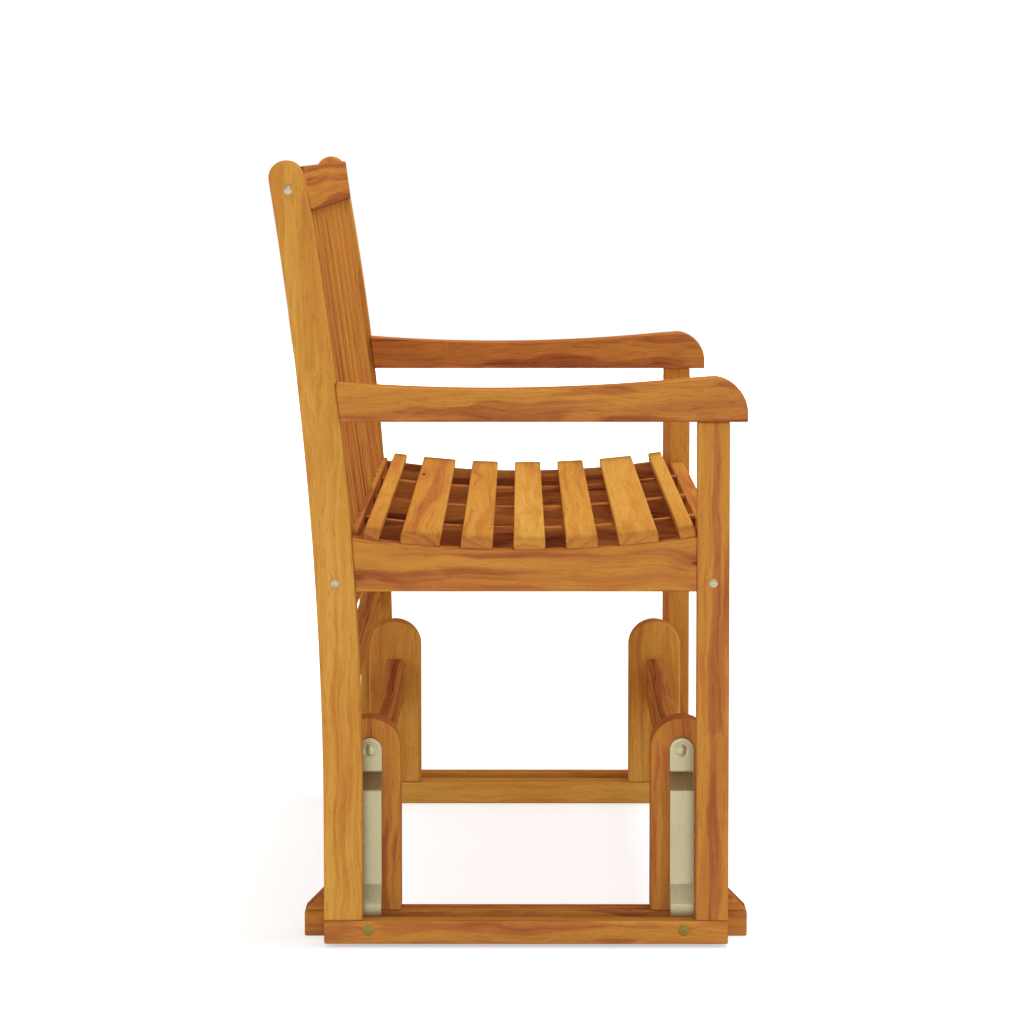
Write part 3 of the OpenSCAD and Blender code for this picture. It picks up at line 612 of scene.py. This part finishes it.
# Seat slats: seven boards laid on a shallow hollow, each flat on its own chord of the seat curve
seatSlats = {"row": {"edge": 0.018, "wide": 0.045, "middle": 0.036, "gap": 0.0244867, "thickness": 0.012,
                     "length": 1.184, "hollow": 1.33, "curveLowY": -0.014027, "curveLowZ": 0.460},
             "order": ("edge", "wide", "middle", "middle", "middle", "wide", "edge"),
             "eased": 0.0020, "number": 50,
             # The two rear slats carry darker tones: painted shade of the backrest
             "tones": (0.22, 0.12, 0.20, 0.14, 0.24, 0.36, 0.34)}  # from the front to the rear


def seatSlatTree(sizes):
    tree, add, size = newTree("seatSlatRow", sizes)
    order = seatSlats["order"]
    index = add("GeometryNodeInputIndex")
    width = add("GeometryNodeIndexSwitch", (index, *[size[label] for label in order]),
                moreItems=len(order) - 2, data_type="FLOAT")
    spaced = add(maths, (width, size["gap"]), "ADD")
    before = add("GeometryNodeAccumulateField", [spaced], data_type="FLOAT").outputs["Trailing"]
    front = add(maths, (size["frontY"], before), "ADD")
    rear = add(maths, (front, width), "ADD")

    # The seat curve's height at each slat's front and rear edge
    squared = add(maths, (size["hollow"], size["hollow"]), "MULTIPLY")
    centre = add(maths, (size["curveLowZ"], size["hollow"]), "ADD")
    heights = []
    for y in (front, rear):
        off = add(maths, (y, size["curveLowY"]), "SUBTRACT")
        inside = add(maths, (squared, add(maths, (off, off), "MULTIPLY")), "SUBTRACT")
        heights.append(add(maths, (centre, add(maths, [inside], "SQRT")), "SUBTRACT"))
    frontZ, rearZ = heights

    tilt = add(maths, (add(maths, (rearZ, frontZ), "SUBTRACT"), width), "ARCTAN2")
    cosine = add(maths, [tilt], "COSINE")
    half = add(maths, (size["thickness"], 0.5), "MULTIPLY")
    lift = add(maths, (half, cosine), "MULTIPLY")
    lean = add(maths, (half, add(maths, (add(maths, [tilt], "SINE"), -1.0), "MULTIPLY")), "MULTIPLY")
    middleY = add(maths, (add(maths, (front, rear), "ADD"), 0.5, lean), "MULTIPLY_ADD")
    middleZ = add(maths, (add(maths, (frontZ, rearZ), "ADD"), 0.5, lift), "MULTIPLY_ADD")
    line = add("GeometryNodeMeshLine", {"Count": len(order)})
    place = add(joinParts, {1: middleY, 2: middleZ})
    placed = add("GeometryNodeSetPosition", {"Geometry": line, "Position": place})
    slat = add("GeometryNodeMeshCube", {"Size": (1.0, 1.0, 1.0)})
    turned = add(joinParts, [tilt])
    sized = add(joinParts, (size["length"], add(maths, (width, cosine), "DIVIDE"), size["thickness"]))
    slats = add("GeometryNodeInstanceOnPoints", {"Points": placed, "Instance": slat, "Rotation": turned,
                "Scale": sized})
    endTree(add, slats, oiledAcacia)
    return tree


def makeSeatSlats():
    sizes = {**seatSlats["row"], "frontY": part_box("seat_slat_1")[0].y}
    made = runTree("seatSlats", seatSlatTree(sizes), sizes)
    ease(made, seatSlats["eased"])
    bake(made)
    giveGrain(made, seatSlats["number"], seatSlats["tones"], alongX)
    finish(made, "chair", "acacia", *[f"seat_slat_{n}" for n in range(1, 8)])


makeSeatSlats()
print("Seat slats laid")

# Links: flat strip with two bends. Each keeps the frame's outline, with rounded bends and eased edges.
links = {"insideBend": 0.003, "thickness": 0.003, "slope": math.atan2(0.018, 0.020), "bendSteps": 5,
         "eased": 0.00045,
         "besideBends": (0.0405, 0.1995),  # the end plates are split off here, to keep the bends clean
         "bendLength": 0.02, "bendLevel": 0.999,  # a bend's edge is longer than this, and this level
         "bendAngles": (math.radians(20), math.radians(60)),  # above these are the strip's own edges
         # The last two are shares of painted shade: on the bends, and on the inner side
         "middleZ": 0.12, "onBend": (0.55, 0.96), "leastArea": 2e-5, "bendShade": 0.72, "insideShade": 0.22}


def paintBendShade(made):
    # Painted shade and painted reflection. The bends are darkened and browned, standing for the dark wood
    # they reflect. The inner side is darkened a little, standing for the shade it is in. The outer side of
    # the lower bends stays bright, as it reflects the open white.
    mesh = made.data
    dull = mesh.attributes.new("dull", "FLOAT", "FACE")
    leastTurn, mostTurn = links["onBend"]
    for polygon in mesh.polygons:
        onBend = leastTurn < abs(polygon.normal.x) < mostTurn and polygon.area > links["leastArea"]
        outside = polygon.normal.x * polygon.center.x > 0
        share = links["bendShade"] if onBend else links["insideShade"]
        if outside and not (onBend and polygon.center.z > links["middleZ"]):
            share = 0.0
        dull.data[polygon.index].value = share


def makeLink(nodeName):
    bm = meshOf(nodeName)
    splits = set()
    for height in links["besideBends"]:
        done = bmesh.ops.bisect_plane(bm, geom=[*bm.verts, *bm.edges, *bm.faces], dist=finishing["merge"],
                                      plane_co=(0, 0, height), plane_no=(0, 0, 1))
        splits.update(done["geom_cut"])
    bmesh.ops.dissolve_limit(bm, angle_limit=finishing["flatWithin"],
                             verts=[v for v in bm.verts if v not in splits],
                             edges=[e for e in bm.edges if e not in splits])
    bmesh.ops.dissolve_verts(bm, verts=[v for v in bm.verts if len(v.link_edges) == 2])
    leastBend, mostBend = links["bendAngles"]
    bends = {True: [], False: []}
    for edge in bm.edges:
        way = (edge.verts[1].co - edge.verts[0].co).normalized()
        level = abs(way.y) > links["bendLevel"] and edge.calc_length() > links["bendLength"]
        if level and len(edge.link_faces) == 2 and leastBend < edge.calc_face_angle() < mostBend:
            bends[edge.is_convex].append(edge)
    reach = math.tan(links["slope"] / 2)
    for outside, edges in bends.items():
        bendRadius = links["insideBend"] + (links["thickness"] if outside else 0.0)
        bmesh.ops.bevel(bm, geom=[e for e in edges if e.is_valid], offset=bendRadius * reach,
                        segments=links["bendSteps"], profile=0.5, affect="EDGES", clamp_overlap=True)
    weights = bm.edges.layers.float.new("bevel_weight_edge")
    for edge in bm.edges:
        edge[weights] = 1.0 if len(edge.link_faces) == 2 and edge.calc_face_angle() > mostBend else 0.0
    made = meshObject(nodeName + "Strip", bm, champagneZinc)
    ease(made, links["eased"], segments=2, weighted=True)
    bake(made)
    paintBendShade(made)
    finish(made, nodeName, "zinc_steel", nodeName)


for linkName in ("link_front_right", "link_front_left", "link_rear_right", "link_rear_left"):
    makeLink(linkName)
print("Links bent")

# Turned parts: a grid of sides and stations is bent round an axis. A profile lists each station's radius
# and height, and the first stations can form a hexagon or cross recess. The part stands on every point.
turning = {"merge": 0.000002, "crease": math.radians(38), "seed": 7,
           "disc": 0.3, "round": 0.8, "widest": 0.99}  # how a solid's axis and widest ring are found


def turnedTree(name, sizes, profile, material, sides=48, recess=0, corners=6):
    tree, add, size = newTree(name, sizes)
    stations = profile(add, size)
    grid = add("GeometryNodeMeshGrid", {"Vertices X": sides + 1, "Vertices Y": len(stations)})
    index = add("GeometryNodeInputIndex")
    station = add(maths, (index, len(stations)), "FLOORED_MODULO")
    side = add(maths, [add(maths, (index, len(stations)), "DIVIDE")], "FLOOR")
    angle = add(maths, (side, math.tau / sides), "MULTIPLY")
    radius, height = [add("GeometryNodeIndexSwitch", (station, *values), moreItems=len(stations) - 2,
                      data_type="FLOAT") for values in zip(*stations)]
    if recess:
        half = math.pi / corners
        inFlat = add(maths, (add(maths, (angle, 2 * half), "FLOORED_MODULO"), half), "SUBTRACT")
        flat = add(maths, (math.cos(half), add(maths, [inFlat], "COSINE")), "DIVIDE")
        inRecess = add(maths, (station, recess - 0.5), "LESS_THAN")
        cut = add(maths, (add(maths, (flat, 1.0), "SUBTRACT"), inRecess, 1.0), "MULTIPLY_ADD")
        radius = add(maths, (radius, cut), "MULTIPLY")
    x, y = [add(maths, (radius, add(maths, [angle], way)), "MULTIPLY") for way in ("COSINE", "SINE")]
    bent = add("GeometryNodeSetPosition", {"Geometry": grid, "Position": add(joinParts, (x, y, height))})
    closed = add("GeometryNodeMergeByDistance", {"Geometry": bent, "Distance": turning["merge"]})
    outward = add("GeometryNodeFlipFaces", [closed])
    smooth = add("GeometryNodeSetShadeSmooth", {"Geometry": outward, "Shade Smooth": True})
    sharp = add(maths, (add("GeometryNodeInputMeshEdgeAngle"), turning["crease"]), "GREATER_THAN")
    creased = add("GeometryNodeSetShadeSmooth", {"Geometry": smooth, "Selection": sharp,
                  "Shade Smooth": False}, domain="EDGE")
    aim = add("GeometryNodeInputNamedAttribute", {"Name": "aim"}, data_type="FLOAT_VECTOR")
    along = add("FunctionNodeAlignRotationToVector", {"Vector": aim}, axis="Z")
    stood = add("GeometryNodeInstanceOnPoints", {"Points": size["Geometry"], "Instance": creased,
                "Rotation": along})
    spin = add("FunctionNodeRandomValue", {2: 0.0, 3: math.tau, "Seed": turning["seed"]}, data_type="FLOAT")
    about = add(joinParts, {2: spin.outputs[1]})
    spun = add("GeometryNodeRotateInstances", {"Instances": stood, "Rotation": about, "Local Space": True})
    endTree(add, spun, material)
    return tree


def turnedPlaces(nodeName):
    # Where each turned solid has its widest ring, which way its head points, and how far it goes down
    bm = meshOf(nodeName)
    solids = [[v.co.copy() for v in island] for island in islandsOf(bm)]
    bm.free()
    solids.sort(key=lambda points: tuple(round(c, 4) for c in boxOf(points)[0]))
    places = []
    for points in solids:
        low, high = boxOf(points)
        size = high - low
        order = sorted(range(3), key=lambda i: size[i])
        flat = min(size) < turning["disc"] * max(size)
        along = order[0] if flat and size[order[1]] > turning["round"] * size[order[2]] else order[2]
        middle = (low + high) / 2
        reach = []
        for point in points:
            off = point - middle
            off[along] = 0.0
            reach.append(off.length)
        wide = [p[along] for p, r in zip(points, reach) if r > turning["widest"] * max(reach)]
        way = 1.0 if sum(wide) / len(wide) >= middle[along] else -1.0
        seat = middle.copy()
        seat[along] = min(wide) if way > 0 else max(wide)
        aim = Vector((0, 0, 0))
        aim[along] = way
        places.append((seat, aim, abs(seat[along] - (low if way > 0 else high)[along])))
    return places


# Heads are low domes with a rim and a socket. These are shares of the head's height, or of its radius.
dome = {"rim": 0.14, "shoulder": 0.18, "lip": 1.10, "steps": (0.25, 0.5, 0.75, 0.93)}


def headProfile(add, size):
    depth = add(maths, (size["headHeight"], size["socketDepth"]), "SUBTRACT")
    socket = add(maths, (size["socketRadius"], size["headRadius"]), "DIVIDE")
    lip = add(maths, (socket, dome["lip"]), "MULTIPLY")
    rest = add(maths, (1.0, lip), "SUBTRACT")
    shares = [lip, *[add(maths, (rest, step, lip), "MULTIPLY_ADD") for step in dome["steps"]]]
    stations = []
    for share in shares:
        fall = add(maths, (1.0, add(maths, (share, share), "MULTIPLY")), "SUBTRACT")
        rise = add(maths, (fall, 1 - dome["shoulder"], dome["shoulder"]), "MULTIPLY_ADD")
        stations.append([add(maths, (size["headRadius"], share), "MULTIPLY"),
                         add(maths, (size["headHeight"], rise), "MULTIPLY")])
    rim = add(maths, (size["headHeight"], dome["rim"]), "MULTIPLY")
    return [(0.0, depth), (size["socketRadius"], depth), (size["socketRadius"], stations[0][1]), *stations,
            (size["headRadius"], rim), (size["headRadius"], 0.0)]


def boltProfile(add, size):
    # A plain shank with a broken end: the thread is inside the wood
    end = add(maths, (size["shankLength"], -1.0), "MULTIPLY")
    return [*headProfile(add, size), (size["shankRadius"], 0.0),
            (size["shankRadius"], add(maths, (end, size["tip"]), "ADD")),
            (add(maths, (size["shankRadius"], size["tip"]), "SUBTRACT"), end), (0.0, end)]


def sleeveProfile(add, size):
    # A barrel that is bored from below
    end = add(maths, (size["shankLength"], -1.0), "MULTIPLY")
    inside = add(maths, (size["boreEnd"], -1.0), "MULTIPLY")
    return [*headProfile(add, size), (size["barrelRadius"], 0.0), (size["barrelRadius"], end),
            (size["boreRadius"], end), (size["boreRadius"], inside), (0.0, inside)]


def ringProfile(add, size):
    # A flat ring with broken outer edges, closed on itself
    inner, outer, broken = size["innerRadius"], size["outerRadius"], size["broken"]
    top = add(maths, (size["height"], broken), "SUBTRACT")
    rim = add(maths, (outer, broken), "SUBTRACT")
    return [(inner, 0.0), (inner, size["height"]), (rim, size["height"]), (outer, top), (outer, broken),
            (rim, 0.0), (inner, 0.0)]


def screwProfile(add, size):
    # A countersunk head with a cross recess, over a shank with a long point
    neck = add(maths, (size["shankRadius"], size["headRadius"]), "SUBTRACT")
    end = add(maths, (size["shankLength"], -1.0), "MULTIPLY")
    depth = add(maths, (size["socketDepth"], -1.0), "MULTIPLY")
    return [(0.0, depth), (add(maths, (size["socketRadius"], 0.5), "MULTIPLY"), depth),
            (size["socketRadius"], 0.0), (size["headRadius"], 0.0), (size["shankRadius"], neck),
            (size["shankRadius"], add(maths, (end, size["tip"]), "ADD")), (0.0, end)]


# One dictionary per kind of turned part. A bolt's shank is as long as the shank of the frame's bolt.
frameBolt = {"headRadius": 0.0055, "headHeight": 0.003, "shankRadius": 0.0035, "tip": 0.0006,
             "socketRadius": 0.0023, "socketDepth": 0.002}
pivotBolt = {"headRadius": 0.007, "headHeight": 0.0026, "shankRadius": 0.004, "tip": 0.0006,
             "socketRadius": 0.0013, "socketDepth": 0.0012}
washer = {"outerRadius": 0.009, "innerRadius": 0.0041, "height": 0.0015, "broken": 0.0002}
insertNut = {"outerRadius": 0.006, "innerRadius": 0.0041, "height": 0.025, "broken": 0.0004}
sleeveNut = {"headRadius": 0.0064, "headHeight": 0.0015, "barrelRadius": 0.0055, "shankLength": 0.02,
             "socketRadius": 0.0023, "socketDepth": 0.0012, "boreRadius": 0.0041, "boreEnd": 0.0029}
slatScrew = {"headRadius": 0.004, "shankRadius": 0.002, "shankLength": 0.04, "socketRadius": 0.0021,
             "socketDepth": 0.0018, "tip": 0.004}


def makeTurned(nodeName, body, slotName, sizes, profile, material, **cut):
    places = turnedPlaces(nodeName)
    if profile is boltProfile:
        sizes = {**sizes, "shankLength": places[0][2]}
    tree = turnedTree(nodeName + "Part", sizes, profile, material, **cut)
    made = runTree(nodeName + "Turned", tree, sizes, [(seat, aim) for seat, aim, length in places])
    bake(made)
    finish(made, body, slotName, nodeName)


makeTurned("frame_bolts", "chair", "bright_steel", frameBolt, boltProfile, brightZinc, recess=3)
makeTurned("base_bolts", "base", "bright_steel", frameBolt, boltProfile, brightZinc, recess=3)
makeTurned("upper_pivot_bolts", "base", "bright_steel", pivotBolt, boltProfile, boltZinc, recess=3)
makeTurned("lower_pivot_bolts", "chair", "bright_steel", pivotBolt, boltProfile, boltZinc, recess=3)
makeTurned("upper_pivot_washers", "base", "bright_steel", washer, ringProfile, champagneZinc)
makeTurned("lower_pivot_washers", "chair", "bright_steel", washer, ringProfile, champagneZinc)
makeTurned("upper_pivot_nuts", "base", "bright_steel", insertNut, ringProfile, brightZinc)
makeTurned("lower_pivot_nuts", "chair", "brass_plate", sleeveNut, sleeveProfile, brassPlate, recess=3)
makeTurned("slat_screws", "chair", "bright_steel", slatScrew, screwProfile, brightZinc, recess=3, corners=4,
           sides=24)
print("Bolts, washers, nuts and screws turned")

# The dowels are inside the wood, so they keep the frame's mesh
dowels = frame["nodes"]["frame_dowels"]
dowels.data.materials.clear()
dowels.data.materials.append(oiledAcacia)
